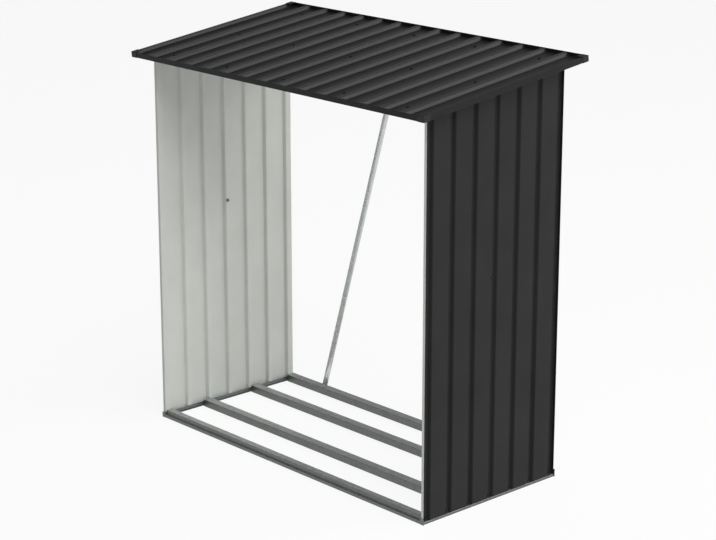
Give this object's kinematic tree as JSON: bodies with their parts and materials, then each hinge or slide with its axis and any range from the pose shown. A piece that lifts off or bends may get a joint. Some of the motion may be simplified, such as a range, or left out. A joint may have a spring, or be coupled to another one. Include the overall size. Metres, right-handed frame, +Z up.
{
  "type": "log store",
  "caption": "Open-fronted steel log store: ribbed side walls on a galvanised rail base, diagonal back brace and a ribbed lean-to roof that falls to the front.",
  "frame": {"origin": "on the ground, under the middle of the roof's outline", "axes": "+X to the right seen from the open front, +Y to the back, +Z up"},
  "size_m": [1.6074, 0.8172, 1.5975],
  "materials": {
    "galvanised_steel": "galvanised",
    "coated_sheet": "satin",
    "coated_trim": "satin",
    "moulded_cap": "matte"
  },
  "bodies": {
    "root": {"front_base_rail": "galvanised_steel", "back_base_rail": "galvanised_steel", "left_base_rail": "galvanised_steel", "right_base_rail": "galvanised_steel", "front_floor_rail": "galvanised_steel", "back_floor_rail": "galvanised_steel", "left_top_rail": "galvanised_steel", "right_top_rail": "galvanised_steel", "front_roof_beam": "galvanised_steel", "middle_roof_beam": "galvanised_steel", "back_roof_beam": "galvanised_steel", "diagonal_brace": "galvanised_steel", "left_wall_front_sheet": "coated_sheet", "left_wall_back_sheet": "coated_sheet", "right_wall_front_sheet": "coated_sheet", "right_wall_back_sheet": "coated_sheet", "left_roof_sheet": "coated_sheet", "middle_roof_sheet": "coated_sheet", "right_roof_sheet": "coated_sheet", "front_roof_trim": "coated_trim", "back_roof_trim": "coated_trim", "left_roof_trim": "coated_trim", "right_roof_trim": "coated_trim", "front_left_corner_cap": "moulded_cap", "back_left_corner_cap": "moulded_cap", "front_right_corner_cap": "moulded_cap", "back_right_corner_cap": "moulded_cap"}
  },
  "joints": []
}
